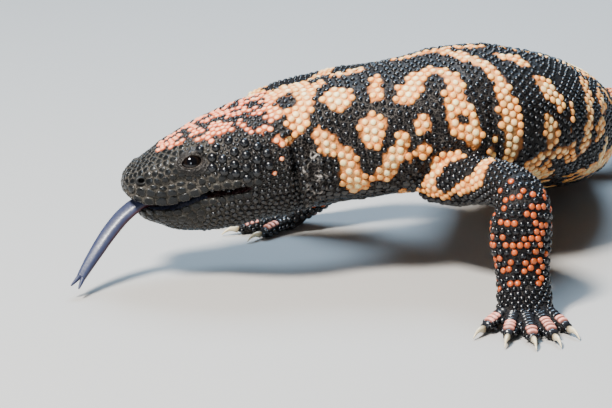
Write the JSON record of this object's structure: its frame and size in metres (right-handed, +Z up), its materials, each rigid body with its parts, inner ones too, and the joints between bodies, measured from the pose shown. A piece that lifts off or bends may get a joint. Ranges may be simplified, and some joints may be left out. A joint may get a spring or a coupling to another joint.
{
  "type": "gila monster model",
  "caption": "Still life-size gila monster standing on its feet, hind belly and tail, head raised a little and forked tongue out.",
  "frame": {"origin": "middle of the bounding box's bottom face, on the floor", "axes": "+Z up; the head points along -X and turns a little towards -Y, the animal's left side faces -Y, and the trunk bends round so that the tail lies along +Y"},
  "size_m": [0.2526, 0.294, 0.0752],
  "materials": {
    "beaded_skin": "beaded hide, glossy black beads with cream and orange-pink bands and blotches",
    "tongue": "wet, slate blue above and dark maroon below",
    "eye": "wet gloss, near black",
    "claw": "satin cream horn"
  },
  "bodies": {
    "root": {"head": "beaded_skin", "lower_jaw": "beaded_skin", "tongue": "tongue", "eye_left": "eye", "eye_right": "eye", "neck": "beaded_skin", "chest": "beaded_skin", "loin": "beaded_skin", "hips": "beaded_skin", "tail_base": "beaded_skin", "tail_tip": "beaded_skin", "arm_left": "beaded_skin", "forearm_left": "beaded_skin", "forefoot_left": "beaded_skin", "thigh_left": "beaded_skin", "shank_left": "beaded_skin", "hindfoot_left": "beaded_skin", "arm_right": "beaded_skin", "forearm_right": "beaded_skin", "forefoot_right": "beaded_skin", "thigh_right": "beaded_skin", "shank_right": "beaded_skin", "hindfoot_right": "beaded_skin", "claw_front_left_1": "claw", "claw_front_left_2": "claw", "claw_front_left_3": "claw", "claw_front_left_4": "claw", "claw_front_left_5": "claw", "claw_front_right_1": "claw", "claw_front_right_2": "claw", "claw_front_right_3": "claw", "claw_front_right_4": "claw", "claw_front_right_5": "claw", "claw_hind_left_1": "claw", "claw_hind_left_2": "claw", "claw_hind_left_3": "claw", "claw_hind_left_4": "claw", "claw_hind_left_5": "claw", "claw_hind_right_1": "claw", "claw_hind_right_2": "claw", "claw_hind_right_3": "claw", "claw_hind_right_4": "claw", "claw_hind_right_5": "claw"}
  },
  "joints": []
}
